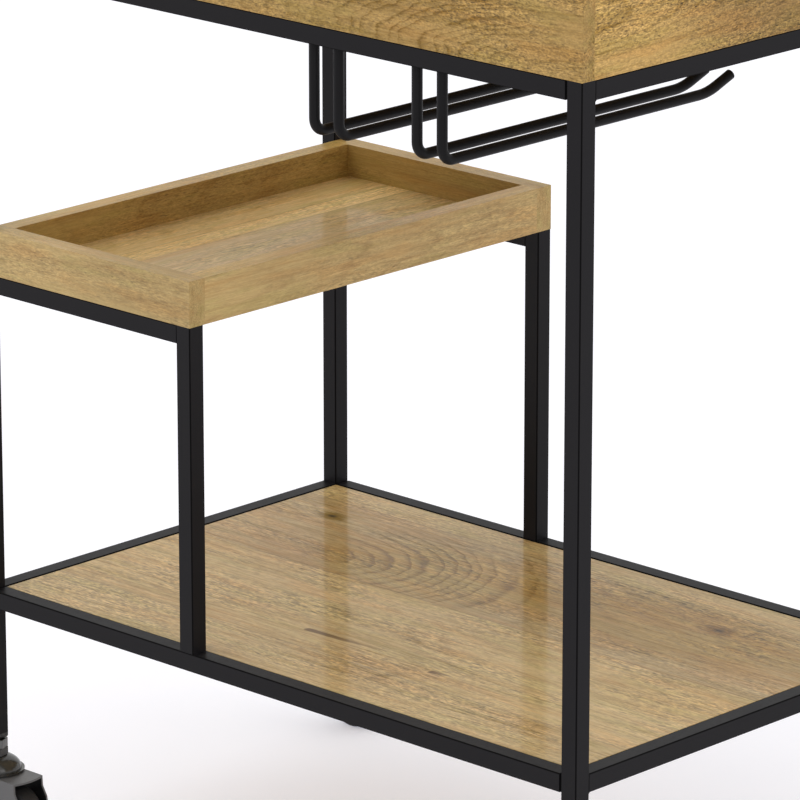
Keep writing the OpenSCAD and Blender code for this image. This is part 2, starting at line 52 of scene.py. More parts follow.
class Graph:
    """One material's nodes, with a short call for each kind that is used here."""

    def __init__(self, name):
        self.material = bpy.data.materials.new(name)
        self.material.use_nodes = True
        self.tree = self.material.node_tree
        self.shader = self.tree.nodes["Principled BSDF"]
        self.place = self.add("TexCoord").outputs["Object"]

    def add(self, kind, **settings):
        node = self.tree.nodes.new("ShaderNode" + kind)
        for key, value in settings.items():
            setattr(node, key, value)
        return node

    def feed(self, socket, value):
        if isinstance(value, bpy.types.NodeSocket):
            self.tree.links.new(value, socket)
        else:
            socket.default_value = value

    def set(self, **sockets):
        """Sockets of the shader by name, with _ for a space."""
        for name, value in sockets.items():
            self.feed(self.shader.inputs[name.replace("_", " ")], value)

    def math(self, operation, *values, clamp=False):
        node = self.add("Math", operation=operation, use_clamp=clamp)
        for socket, value in zip(node.inputs, values):
            self.feed(socket, value)
        return node.outputs[0]

    def axes(self, vector):
        node = self.add("SeparateXYZ")
        self.feed(node.inputs[0], vector)
        return [node.outputs[i] for i in range(3)]

    def vector(self, *parts):
        node = self.add("CombineXYZ")
        for socket, value in zip(node.inputs, parts):
            self.feed(socket, value)
        return node.outputs[0]

    def scaled(self, parts, factors, seed=0.0):
        """A vector of the parts, each times its own factor, moved by a seed."""
        shifted = [self.math("MULTIPLY_ADD", p, f, seed) for p, f in zip(parts, factors)]
        return self.vector(*shifted)

    def noise(self, vector, scale=1.0, detail=2.0, roughness=0.5):
        node = self.add("TexNoise")
        self.feed(node.inputs["Vector"], vector)
        self.feed(node.inputs["Scale"], scale)
        self.feed(node.inputs["Detail"], detail)
        self.feed(node.inputs["Roughness"], roughness)
        node.inputs["Distortion"].default_value = 0.0
        return node.outputs[0]

    def ramp(self, value, stops):
        """A colour ramp; each stop is (position, grey) or (position, colour)."""
        node = self.add("ValToRGB")
        self.feed(node.inputs[0], value)
        elements = node.color_ramp.elements
        elements[0].position, elements[1].position = stops[0][0], stops[-1][0]
        for position, _ in stops[1:-1]:
            elements.new(position)
        for element, (_, colour) in zip(elements, stops):
            element.color = (*([colour] * 3 if isinstance(colour, (int, float)) else colour), 1.0)
        return node.outputs[0]

    def span(self, value, low, high, to_low=0.0, to_high=1.0):
        node = self.add("MapRange", interpolation_type="SMOOTHSTEP")
        for socket, number in zip(node.inputs, (value, low, high, to_low, to_high)):
            self.feed(socket, number)
        return node.outputs[0]

    def mix(self, share, first, second, blend="MIX"):
        node = self.add("Mix", data_type="RGBA", blend_type=blend)
        self.feed(node.inputs[0], share)
        for socket, value in ((node.inputs[6], first), (node.inputs[7], second)):
            self.feed(socket, value if isinstance(value, bpy.types.NodeSocket) else (*value, 1.0))
        return node.outputs[2]

    def dim(self, colour, factor):
        """A colour times a grey factor."""
        node = self.add("VectorMath", operation="SCALE")
        self.feed(node.inputs[0], colour)
        self.feed(node.inputs["Scale"], factor)
        return node.outputs[0]

    def bump(self, height, distance):
        node = self.add("Bump")
        node.inputs["Strength"].default_value = 1.0
        self.feed(node.inputs["Distance"], distance)
        self.feed(node.inputs["Height"], height)
        return node.outputs[0]


# ---- Wood ------------------------------------------------------------------------

# One stave of a panel: the width where it starts, the log's heart across the width and
# below the face, how far the heart swings along the length, where and how fast, the
# spacing of its growth rings, how strongly they show, and the stave's tone (1 is
# neutral) and warmth (0 is neutral). Lengths in millimetres.
PLAIN_STAVE = {
    "start": -1e4, "heart": 0.0, "bury": 60.0, "swing": 10.0, "cross": 0.0, "reach": 200.0,
    "pitch": 4.6, "rings": 0.6, "tone": 1.0, "warm": 0.0,
}
GREY_STREAK = (0.90, 0.98, 0.86)      # multiplies the wood's colour in cooler streaks
WARM_STREAK = (1.10, 0.91, 0.74)      # the same for warmer streaks
CRACK_BROWN = (0.135, 0.066, 0.010)


def stave(**changes):
    return {**PLAIN_STAVE, **changes}


def wood(name, axes, staves, light, dark, knots=(), figures=(), cracks=(), patches=(), seed=0.0,
         face=0.0, grain=(12.0, 4.0), flecks=1.0, contrast=1.0, wobble=1.0, figured=0.75,
         end_dark=0.28, coat=0.3, shine=0.3, top=None, inside=None):
    """Solid wood with growth rings cut from a log, fibres, flecks, streaks and seams.

    axes is (length, width, depth) as axis numbers, staves run across the width, and
    face is the depth coordinate of the shown face in metres. In millimetres, a knot is
    (length, width, size), a figure where the rings show strongly is (length, width,
    half length, half width), a crack is (from, to, width at its start, rise), a patch
    of another hue is (length, width, half length, half width, colour factors), and grain
    is the size of the flecks. top holds the colour factors of faces that look up, painted
    light on them; inside holds a sign and the colour factors of faces that look that way
    along the depth, painted shade on them. The strengths are flecks for the flecks,
    contrast for the rings and streaks, figured for a figure's rings, wobble for the
    rings' bends, shine for the wood's own reflection, coat for the lacquer's, and
    end_dark for the darkening of end grain."""
    g = Graph(name)
    parts = g.axes(g.place)
    along, across, deep = (g.math("MULTIPLY", parts[i], 1000.0) for i in axes)
    deep = g.math("SUBTRACT", deep, face * 1000.0)

    masks = [g.math("GREATER_THAN", across, s["start"]) for s in staves[1:]]

    def per_stave(key):
        value = staves[0][key]
        for mask, before, after in zip(masks, staves, staves[1:]):
            if after[key] != before[key]:
                value = g.math("MULTIPLY_ADD", mask, after[key] - before[key], value)
        return value

    shift = seed
    for mask in masks:
        shift = g.math("MULTIPLY_ADD", mask, 7.31, shift)

    def at(length_mm, width_mm, depth_mm=None):
        """Noise coordinates with one unit to these sizes, different in each stave."""
        sizes = (length_mm, width_mm, depth_mm or width_mm)
        scaled = [g.math("DIVIDE", p, s) for p, s in zip((along, across, deep), sizes)]
        scaled[2] = g.math("ADD", scaled[2], shift)
        return g.vector(*scaled)

    def stretched(coordinates, detail, roughness, low=0.33, high=0.67):
        """Noise spread over the whole of 0 to 1."""
        return g.span(g.noise(coordinates, 1.0, detail, roughness), low, high)

    def distance_from(place_l, place_w, half_l, half_w):
        """Square of the distance from a place, 1 on the ellipse with these half axes."""
        off_l = g.math("DIVIDE", g.math("SUBTRACT", along, place_l), half_l)
        off_w = g.math("DIVIDE", g.math("SUBTRACT", across, place_w), half_w)
        return g.math("MULTIPLY_ADD", off_l, off_l, g.math("MULTIPLY", off_w, off_w))

    # The log: distance from its heart, bent by slow noise, gives the rings
    swing = g.math("SUBTRACT", along, per_stave("cross"))
    swing = g.math("TANH", g.math("DIVIDE", swing, per_stave("reach")))
    bury = g.math("MULTIPLY_ADD", swing, per_stave("swing"), per_stave("bury"))
    bend = g.noise(at(260, 60), 1.0, 2.0, 0.55)
    bend = g.math("MULTIPLY_ADD", bend, 26.0 * wobble, -13.0 * wobble)
    waver = g.noise(at(45, 12), 1.0, 3.0, 0.6)
    waver = g.math("MULTIPLY_ADD", waver, 7.0 * wobble, -3.5 * wobble)
    side = g.math("SUBTRACT", across, per_stave("heart"))
    side = g.math("ADD", g.math("ADD", side, bend), waver)
    height = g.math("ADD", g.math("ADD", bury, waver), deep)
    radius = g.math("SQRT", g.math("MULTIPLY_ADD", side, side, g.math("MULTIPLY", height, height)))
    pull, heartwood, bark = 0.0, 0.0, 0.0
    for place_l, place_w, size in knots:
        off_l = g.math("DIVIDE", g.math("SUBTRACT", along, place_l), 1.7)
        off_w = g.math("SUBTRACT", g.math("MULTIPLY_ADD", waver, 0.6, across), place_w)
        away = g.math("SQRT", g.math("MULTIPLY_ADD", off_l, off_l, g.math("MULTIPLY", off_w, off_w)))
        near = g.span(away, 0.0, size * 5.0, 1.0, 0.0)
        pull = g.math("MULTIPLY_ADD", near, size * 2.6, pull)
        heartwood = g.math("MAXIMUM", g.span(away, size * 0.5, size * 2.0, 1.0, 0.0), heartwood)
        bark = g.math("MAXIMUM", g.span(away, size * 0.1, size * 0.7, 1.0, 0.0), bark)
    radius = g.math("ADD", radius, pull)
    phase = g.math("DIVIDE", radius, per_stave("pitch"))
    uneven = g.noise(g.vector(g.math("MULTIPLY", phase, 0.37), shift, 0.0), 1.0, 1.0)
    phase = g.math("MULTIPLY_ADD", uneven, 2.4, phase)
    ring = g.ramp(
        g.math("FRACT", phase), [(0.0, 0.05), (0.50, 0.15), (0.74, 0.5), (0.86, 1.0), (1.0, 0.05)]
    )
    broken = stretched(at(26, 5), 3.0, 0.65)
    patch = stretched(at(180, 45), 2.0, 0.6)
    shown = g.math("MULTIPLY_ADD", patch, 0.5, 0.3)
    shown = g.math("MULTIPLY", shown, per_stave("rings"))
    for place_l, place_w, half_l, half_w in figures:
        away = distance_from(place_l, place_w, half_l, half_w)
        shown = g.math("ADD", shown, g.span(away, 0.25, 1.0, figured, 0.0))
    ring_share = g.math("MULTIPLY", ring, g.math("MULTIPLY_ADD", broken, 0.6, 0.45))
    ring_share = g.math("MULTIPLY", ring_share, shown)

    # Fibres, pores, streaks of other hues and slow drift
    fleck_l, fleck_w = grain
    fibre = stretched(at(fleck_l * 3.2, fleck_w * 0.6), 3.0, 0.65)
    fine_fibre = g.noise(at(9, 0.35), 1.0, 2.0, 0.6)
    speckle = stretched(at(fleck_l, fleck_w), 2.0, 0.65)
    mottle = stretched(at(fleck_l * 0.42, fleck_w * 0.5), 1.0, 0.5)
    fleck = g.span(g.noise(at(fleck_l * 0.9, fleck_w * 0.55), 1.0, 1.0, 0.4), 0.62, 0.72)
    streak = stretched(at(300, 8), 3.0, 0.6)
    hue = stretched(at(110, 16), 3.0, 0.6)
    drift = stretched(at(380, 110), 1.0, 0.5)

    share = g.math("MULTIPLY_ADD", ring_share, 1.2 * contrast, 0.1)
    share = g.math("MULTIPLY_ADD", g.math("SUBTRACT", streak, 0.5), 0.34 * contrast, share)
    share = g.math("MULTIPLY_ADD", g.math("SUBTRACT", fibre, 0.45), 0.34 * contrast, share)
    share = g.math("MULTIPLY_ADD", g.math("SUBTRACT", drift, 0.3), 0.24 * contrast, share)
    share = g.math("MULTIPLY_ADD", heartwood, 0.9, share, clamp=True)
    colour = g.mix(share, light, dark)
    warm = g.math("MULTIPLY_ADD", hue, 0.8, per_stave("warm"))
    colour = g.mix(g.span(warm, 0.45, 1.0, 0.0, 0.55), colour, WARM_STREAK, "MULTIPLY")
    colour = g.mix(g.span(warm, 0.0, 0.35, 0.6, 0.0), colour, GREY_STREAK, "MULTIPLY")
    shade = g.math("MULTIPLY_ADD", fine_fibre, 0.16, 0.92)
    busy = g.math("MULTIPLY_ADD", patch, 1.3 * flecks, 0.4 * flecks)
    for part in (speckle, mottle):
        change = g.math("MULTIPLY", g.math("SUBTRACT", part, 0.5), busy)
        shade = g.math("MULTIPLY", shade, g.math("MULTIPLY_ADD", change, 0.20, 1.0))
    fleck_share = g.math("MULTIPLY", fleck, busy)
    shade = g.math("MULTIPLY", shade, g.math("MULTIPLY_ADD", fleck_share, -0.24, 1.0))
    shade = g.math("MULTIPLY", shade, per_stave("tone"))
    shade = g.math("MULTIPLY", shade, g.math("MULTIPLY_ADD", bark, -0.72, 1.0))
    for boundary in [s["start"] for s in staves[1:]]:
        gap = g.math("ABSOLUTE", g.math("SUBTRACT", across, boundary))
        shade = g.math("MULTIPLY", shade, g.span(gap, 0.3, 1.3, 0.74, 1.0))
    for place_l, place_w, half_l, half_w, factors in patches:
        away = distance_from(place_l, place_w, half_l, half_w)
        colour = g.mix(g.span(away, 0.1, 1.0, 1.0, 0.0), colour, factors, "MULTIPLY")
    for start, finish, place_w, rise in cracks:
        share_l = g.math("DIVIDE", g.math("SUBTRACT", along, start), finish - start)
        line = g.math("MULTIPLY_ADD", share_l, rise, place_w)
        line = g.math("MULTIPLY_ADD", waver, 0.7, line)
        gap = g.math("ABSOLUTE", g.math("SUBTRACT", across, line))
        length = g.math("MULTIPLY", g.span(share_l, 0.0, 0.04), g.span(share_l, 0.1, 1.0, 1.0, 0.0))
        open_mm = g.math("MULTIPLY_ADD", length, 4.6, 0.001)
        split = g.math("MULTIPLY", g.span(g.math("DIVIDE", gap, open_mm), 0.35, 1.0, 1.0, 0.0), length)
        colour = g.mix(split, colour, CRACK_BROWN)

    # End grain drinks more finish, so it is darker unless end_dark is negative
    normal = g.axes(g.add("TexCoord").outputs["Normal"])
    end = g.span(g.math("ABSOLUTE", normal[axes[0]]), 0.6, 0.95)
    shade = g.math("MULTIPLY", shade, g.math("MULTIPLY_ADD", end, -end_dark, 1.0))
    # Painted light and shade: faces that look up are tinted lighter by one set of factors, and faces
    # that look the given way along the depth darker by another.
    if top:
        colour = g.mix(g.span(normal[Z], 0.6, 0.95), colour, top, "MULTIPLY")
    if inside:
        sign, factors = inside
        inward = g.span(g.math("MULTIPLY", normal[axes[2]], sign), 0.6, 0.95)
        colour = g.mix(inward, colour, factors, "MULTIPLY")
    g.set(Base_Color=g.dim(colour, shade))

    rough = g.math("MULTIPLY_ADD", fibre, 0.14, 0.36)
    rough = g.math("MULTIPLY_ADD", ring_share, -0.06, rough)
    g.set(Roughness=g.math("MULTIPLY_ADD", end, 0.15, rough))
    relief = g.math("MULTIPLY_ADD", ring, -0.35, fibre)
    relief = g.math("MULTIPLY_ADD", fleck, -0.8, relief)
    relief = g.math("MULTIPLY_ADD", fine_fibre, 0.3, relief)
    g.set(Normal=g.bump(relief, 0.00004))
    g.set(Specular_IOR_Level=shine, Coat_Weight=coat, Coat_Roughness=0.1)
    g.set(Coat_Normal=g.bump(g.noise(at(60, 25), 1.0, 1.0), 0.00020))
    return g.material


# ---- Metal, plastic and rubber -----------------------------------------------------

DUST = (0.45, 0.43, 0.40)
SCUFF = (0.16, 0.155, 0.15)


def powder_coat(name, colour, roughness, specular, grain=0.0000035, painted_edge_shade=0.0, middle=None):
    """Baked paint over steel: orange peel, cloudy sheen and faint dust. Rounded edges are
    darker by the part painted_edge_shade, a painted shade line along them, and the inner faces
    and underside of a fork with its middle at a given distance from the cart's middle
    plane are darker too, painted shade in the fork."""
    g = Graph(name)
    peel = g.noise(g.place, 1400.0, 2.0, 0.6)
    cloud = g.noise(g.place, 24.0, 3.0, 0.6)
    dust = g.noise(g.place, 260.0, 4.0, 0.7)
    normal = g.axes(g.add("TexCoord").outputs["Normal"])
    settled = g.math("MULTIPLY", g.span(normal[Z], 0.5, 1.0), g.span(dust, 0.45, 0.8))
    tint = g.mix(g.math("MULTIPLY", settled, 0.02), colour, DUST)
    shade = g.math("MULTIPLY_ADD", cloud, 0.30, 0.85)
    # Painted shade: rounded edges are darkened, a dark line along them.
    if painted_edge_shade:
        flat = g.math("MAXIMUM", *(g.math("ABSOLUTE", part) for part in normal[:2]))
        flat = g.math("MAXIMUM", flat, g.math("ABSOLUTE", normal[Z]))
        edge = g.span(flat, 0.92, 0.995, painted_edge_shade, 0.0)
        shade = g.math("MULTIPLY", shade, g.math("SUBTRACT", 1.0, edge))
    # Painted shade: the fork's inner leg faces and its underside are darkened.
    if middle is not None:
        place_y = g.axes(g.place)[Y]
        off = g.math("SUBTRACT", g.math("ABSOLUTE", place_y), middle)
        outward = g.math("MULTIPLY", g.math("SIGN", place_y), normal[Y])
        inside = g.span(g.math("MULTIPLY", off, outward), -0.006, -0.001, 1.0, 0.0)
        inside = g.math("MAXIMUM", inside, g.span(normal[Z], -0.9, -0.3, 1.0, 0.0))
        shade = g.math("MULTIPLY", shade, g.math("MULTIPLY_ADD", inside, -0.93, 1.0))
    g.set(Base_Color=g.dim(tint, shade))
    rough = g.math("MULTIPLY_ADD", cloud, 0.10, roughness - 0.05)
    rough = g.math("MULTIPLY_ADD", settled, 0.12, rough)
    if painted_edge_shade:
        rough = g.math("MULTIPLY_ADD", edge, 0.5, rough, clamp=True)
    g.set(Roughness=rough)
    g.set(Normal=g.bump(peel, grain), Specular_IOR_Level=specular)
    return g.material


def zinc(name, colour, roughness):
    """Plated steel with fine drawing marks and dull patches."""
    g = Graph(name)
    parts = g.axes(g.place)
    lines = g.noise(g.scaled(parts, (60.0, 60.0, 2600.0)), 1.0, 3.0, 0.6)
    cloud = g.noise(g.place, 90.0, 3.0, 0.6)
    g.set(Base_Color=g.dim(g.mix(cloud, colour, [c * 0.72 for c in colour]), 1.0))
    g.set(Roughness=g.math("MULTIPLY_ADD", cloud, 0.22, roughness - 0.1))
    g.set(Metallic=1.0, Normal=g.bump(lines, 0.000006))
    return g.material


def moulded(name, colour, roughness, grain_scale, grain_depth, specular=0.4):
    """Moulded plastic or rubber: fine texture with slow changes of sheen."""
    g = Graph(name)
    grain = g.noise(g.place, grain_scale, 3.0, 0.6)
    cloud = g.noise(g.place, 45.0, 3.0, 0.6)
    scuff = g.span(g.noise(g.place, 420.0, 4.0, 0.7), 0.58, 0.75)
    tint = g.mix(g.math("MULTIPLY", scuff, 0.16), colour, SCUFF)
    g.set(Base_Color=g.dim(tint, g.math("MULTIPLY_ADD", cloud, 0.3, 0.85)))
    rough = g.math("MULTIPLY_ADD", cloud, 0.16, roughness - 0.08)
    g.set(Roughness=g.math("MULTIPLY_ADD", scuff, 0.1, rough))
    g.set(Normal=g.bump(grain, grain_depth), Specular_IOR_Level=specular)
    return g.material


# The frame's rounded tube edges carry a painted shade line.
FRAME_BLACK = powder_coat("frame_black", (0.0088, 0.0080, 0.0090), 0.45, 0.10, painted_edge_shade=0.85)
# Near-black joint spigots: painted shade in the narrow seams between rail ends and posts.
SPIGOT_PAINTED_SHADE = powder_coat("spigot_painted_shade", (0.0016, 0.0015, 0.0016), 0.60, 0.03)
RACK_BLACK = powder_coat("rack_black", (0.0072, 0.0068, 0.0074), 0.42, 0.10)
CASTER_GREY = powder_coat("caster_grey", (0.028, 0.027, 0.024), 0.17, 0.55, 0.000001)
FORK_MIDDLE = sum(corner.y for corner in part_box("back_right_fork")) / 2
# The fork's inner faces and underside carry painted shade.
FORK_GREY = powder_coat("fork_grey", (0.084, 0.082, 0.082), 0.34, 0.40, 0.000002,
                        middle=FORK_MIDDLE)
WELD_BLACK = powder_coat("weld_black", (0.0084, 0.0078, 0.0086), 0.48, 0.12)
ZINC_SCREWS = zinc("zinc_screws", (0.52, 0.51, 0.49), 0.30)
CASTER_ZINC = zinc("caster_zinc", (0.150, 0.149, 0.147), 0.34)
STEM_ZINC = zinc("stem_zinc", (0.070, 0.069, 0.067), 0.40)
BLACK_PLASTIC = moulded("black_plastic", (0.014, 0.014, 0.0145), 0.45, 2200.0, 0.000004)
TYRE_RUBBER = moulded("tyre_rubber", (0.020, 0.0195, 0.020), 0.62, 1500.0, 0.00001, 0.3)

SHELF_LIGHT = (0.500, 0.353, 0.159)
SHELF_DARK = (0.250, 0.146, 0.022)
TRAY_LIGHT = (0.445, 0.312, 0.124)
TRAY_DARK = (0.270, 0.160, 0.050)
# The tray floor's colours are lighter than the walls' wood: painted light on a floor that the box
# above shades.
TRAY_FLOOR_LIGHT = (0.625, 0.447, 0.204)
TRAY_FLOOR_DARK = (0.400, 0.255, 0.058)
BOX_LIGHT = (0.368, 0.230, 0.073)
BOX_DARK = (0.182, 0.100, 0.014)


def face_of(node, axis, side):
    """The coordinate of a node's face: side 0 is the low one and 1 the high one."""
    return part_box(node)[side][axis]


SHELF_WOOD = wood(
    "shelf_wood", (X, Y, Z),
    [
        stave(heart=-150, bury=42, swing=12, cross=-80, reach=260, tone=1.04, warm=0.0),
        stave(start=-141, heart=-40, bury=70, swing=-22, cross=60, reach=220, tone=1.09, warm=0.05),
        stave(start=18, heart=52, bury=92, swing=85, cross=-70, reach=110, pitch=11.0,
              tone=0.87, warm=0.3),
        stave(start=170, heart=250, bury=40, swing=8, cross=0, reach=300, tone=1.0, warm=0.0),
    ],
    SHELF_LIGHT, SHELF_DARK, knots=[(-266, 134, 7), (192, 132, 7)],
    figures=[(-75, 70, 115, 75), (-150, 110, 80, 60)], figured=0.7,
    cracks=[(-67, 62, -105.6, 6), (86, 114, -113, 3)],
    patches=[(155, 105, 210, 85, (0.87, 0.80, 0.52)), (-220, 60, 90, 60, (0.95, 0.90, 0.80)),
             (290, -20, 110, 60, (0.92, 0.88, 0.74)), (-85, 75, 150, 85, (1.00, 0.98, 0.68))],
    seed=3.1, face=face_of("shelf_panel", Z, 1), grain=(12.0, 3.0), flecks=1.4, shine=0.1,
)
TRAY_FLOOR_WOOD = wood(
    "tray_floor_wood", (Y, X, Z),
    [
        stave(heart=-290, bury=70, swing=30, cross=-60, reach=200, tone=1.16, warm=0.0),
        stave(start=-262, heart=-210, bury=60, swing=-20, cross=0, reach=240, tone=1.34, warm=0.0),
        stave(start=-236, heart=-180, bury=75, swing=24, cross=40, reach=200, tone=1.0, warm=0.0),
        # This last stave's lower tone paints shade over the floor's right part.
        stave(start=-160, heart=-110, bury=55, swing=18, cross=-30, reach=260, tone=0.9, warm=0.1),
    ],
    TRAY_FLOOR_LIGHT, TRAY_FLOOR_DARK, seed=11.7, face=face_of("tray_floor", Z, 1),
    grain=(12.0, 2.6), flecks=1.0, coat=0.20, shine=0.12,
)


def edge_board(name, node, length_axis, side, seed, light, dark, **changes):
    """Wood for a wall board: growth rings lie behind its outer face."""
    width = [face_of(node, Z, 0) / MM, face_of(node, Z, 1) / MM]
    depth_axis = Y if length_axis == X else X
    values = {"heart": width[0] + 0.55 * (width[1] - width[0]), "bury": 60.0, "swing": 24.0}
    look_keys = ("contrast", "flecks", "grain", "end_dark", "coat", "figures", "patches",
                 "wobble", "figured", "shine", "top", "inside")
    looks = {key: changes.pop(key) for key in look_keys if key in changes}
    if "inside" in looks:
        inner_sign = 1 - 2 * side
        looks["inside"] = (inner_sign, looks["inside"])
    values.update(changes)
    outer = face_of(node, depth_axis, side)
    return wood(name, (length_axis, Z, depth_axis), [stave(**values)], light, dark,
                seed=seed, face=outer, **looks)


# The wall boards' rims, which look up, are painted lighter and yellower (painted light), and their
# faces that look into the tray darker and browner (painted shade).
TRAY_LOOKS = {"grain": (7.5, 1.8), "flecks": 0.8, "end_dark": -0.12, "coat": 0.06,
              "top": (1.24, 1.19, 0.92), "inside": (0.90, 0.82, 0.58)}
TRAY_WOODS = {
    "tray_front_board": edge_board("tray_front_wood", "tray_front_board", X, 0, 21.3,
                                   TRAY_LIGHT, TRAY_DARK, bury=48, swing=10, tone=0.97,
                                   contrast=0.8, patches=[(-130, 532, 110, 60, (0.88, 0.87, 0.84))],
                                   **TRAY_LOOKS),
    "tray_back_board": edge_board("tray_back_wood", "tray_back_board", X, 1, 24.9,
                                  TRAY_LIGHT, TRAY_DARK, bury=52, swing=16, **TRAY_LOOKS),
    "tray_left_board": edge_board("tray_left_wood", "tray_left_board", Y, 0, 27.1,
                                  TRAY_LIGHT, TRAY_DARK, bury=64, swing=-14, tone=1.05,
                                  **TRAY_LOOKS),
    # The right board's higher tone paints the brighter light that falls on the tray's right side.
    "tray_right_board": edge_board("tray_right_wood", "tray_right_board", Y, 1, 29.6,
                                   TRAY_LIGHT, TRAY_DARK, bury=58, swing=12, tone=1.18,
                                   **TRAY_LOOKS),
}
BOX_BASE = face_of("box_front_board", Z, 0) / MM
BOX_LOOKS = {"grain": (6.0, 2.4), "flecks": 2.0, "contrast": 1.4, "end_dark": 0.06,
             "coat": 0.14, "shine": 0.14}
BOX_WOODS = {
    "box_front_board": edge_board("box_front_wood", "box_front_board", X, 0, 33.8,
                                  BOX_LIGHT, BOX_DARK, heart=BOX_BASE + 4, bury=50,
                                  swing=-45, cross=150, reach=190, pitch=3.5,
                                  figures=[(175, BOX_BASE + 30, 120, 50)], figured=0.38,
                                  tone=1.0, wobble=0.6, **BOX_LOOKS),
    "box_back_board": edge_board("box_back_wood", "box_back_board", X, 1, 36.2,
                                 BOX_LIGHT, BOX_DARK, bury=44, swing=24, **BOX_LOOKS),
    "box_left_board": edge_board("box_left_wood", "box_left_board", Y, 0, 39.5,
                                 BOX_LIGHT, BOX_DARK, bury=56, swing=14, **BOX_LOOKS),
    # The right board's high tone paints the brighter light that falls on the box's right side; a broad
    # patch darkens the board away from its front end.
    "box_right_board": edge_board("box_right_wood", "box_right_board", Y, 1, 41.9,
                                  BOX_LIGHT, BOX_DARK, bury=50, swing=30, tone=1.28,
                                  wobble=0.6,
                                  patches=[(85, BOX_BASE + 40, 235, 130, (0.61, 0.58, 0.55))],
                                  **BOX_LOOKS),
}
BOX_FLOOR_WOOD = wood(
    "box_floor_wood", (X, Y, Z),
    [
        stave(heart=-160, bury=60, swing=24, cross=-90, reach=200, tone=1.0),
        stave(start=-105, heart=-60, bury=70, swing=-30, cross=70, reach=180, tone=1.04, warm=0.1),
        stave(start=0, heart=60, bury=50, swing=30, cross=20, reach=160, tone=0.96),
        stave(start=105, heart=150, bury=66, swing=14, cross=-60, reach=240, tone=1.01, warm=0.15),
    ],
    BOX_LIGHT, BOX_DARK, seed=45.2, face=face_of("box_floor", Z, 1), flecks=1.3,
)
DOWEL_WOOD = wood("dowel_wood", (Y, X, Z), [stave(bury=30)], BOX_LIGHT, BOX_DARK, seed=48.4)


# ---- CAD nodes: materials and eased edges ------------------------------------------


def paint(node, material):
    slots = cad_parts[node].data.materials
    slots.clear()
    slots.append(material)


def ease(node, width_mm):
    """Rounds a CAD node's sharp edges with modifiers; its mesh stays as packed."""
    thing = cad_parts[node]
    weld = thing.modifiers.new("weld", "WELD")
    weld.merge_threshold = 0.00001
    bevel = thing.modifiers.new("bevel", "BEVEL")
    bevel.width = width_mm * MM
    bevel.segments = 2
    bevel.limit_method = "ANGLE"
    bevel.angle_limit = math.radians(32)
    bevel.use_clamp_overlap = True
    thing.modifiers.new("normals", "WEIGHTED_NORMAL").keep_sharp = False


def material_of(node):
    if node in TRAY_WOODS:
        return TRAY_WOODS[node]
    if node in BOX_WOODS:
        return BOX_WOODS[node]
    named = {
        "shelf_panel": SHELF_WOOD, "tray_floor": TRAY_FLOOR_WOOD, "box_floor": BOX_FLOOR_WOOD,
        "tray_dowels": DOWEL_WOOD, "box_dowels": DOWEL_WOOD, "joint_screws": ZINC_SCREWS,
        "shelf_screws": ZINC_SCREWS, "tray_screws": ZINC_SCREWS, "box_screws": ZINC_SCREWS,
        "post_inserts": BLACK_PLASTIC, "lock_nuts": CASTER_ZINC, "caster_stems": STEM_ZINC,
        "raceway_covers": CASTER_GREY, "raceway_balls": CASTER_ZINC, "joint_spigots": SPIGOT_PAINTED_SHADE,
    }
    endings = {
        "_post": FRAME_BLACK, "_rail": FRAME_BLACK, "_leg": FRAME_BLACK, "_fork": FORK_GREY,
        "_axle": CASTER_ZINC, "_hub": BLACK_PLASTIC, "_tyre": TYRE_RUBBER,
    }
    if node in named:
        return named[node]
    if node.startswith("rod_"):
        return RACK_BLACK
    return next((m for ending, m in endings.items() if node.endswith(ending)), FRAME_BLACK)


EASED = {
    "shelf_panel": 0.8, "lock_nuts": 0.5, "caster_stems": 0.4, "joint_spigots": 0.3,
    **{node: 1.0 for node in [*TRAY_WOODS, *BOX_WOODS]},
    **{f"{corner}_fork": 0.35 for corner in CORNERS},
}
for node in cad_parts:
    paint(node, material_of(node))
for node, width in EASED.items():
    ease(node, width)


# ---- Pieces ------------------------------------------------------------------------


def piece(name, bm, material, body):
    """A mesh object made of a bmesh, smooth by angle, riding on a body."""
    bmesh.ops.recalc_face_normals(bm, faces=bm.faces)
    mesh = bpy.data.meshes.new(name)
    bm.to_mesh(mesh)
    bm.free()
    mesh.polygons.foreach_set("use_smooth", [True] * len(mesh.polygons))
    mesh.set_sharp_from_angle(angle=math.radians(40))
    thing = bpy.data.objects.new(name, mesh)
    bpy.context.scene.collection.objects.link(thing)
    mesh.materials.append(material)
    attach(thing, body)


def grid_faces(bm, rows, closed=False):
    """Faces between rows of vertices; closed joins each row's last vertex to its first."""
    for row, following in zip(rows, rows[1:]):
        count = len(row)
        for i in range(count if closed else count - 1):
            j = (i + 1) % count
            bm.faces.new((row[i], row[j], following[j], following[i]))


SECTION = 6              # steps across a weld bead
RIPPLE_PITCH = 1.5 * MM
STEPS_PER_RIPPLE = 4
RIPPLE = 0.07            # part of the bead's leg
COLLAR_RIPPLES = 14
COLLAR_RIPPLE = 1.4 * RIPPLE
COLLAR_STEPS = 72
HOLLOW = 0.22            # how much a bead's section dips below a quarter circle
BEAD_END = 0.45          # size of a bead's end, as a part of its middle
SINK = 0.15 * MM         # how far a bead reaches into the metal


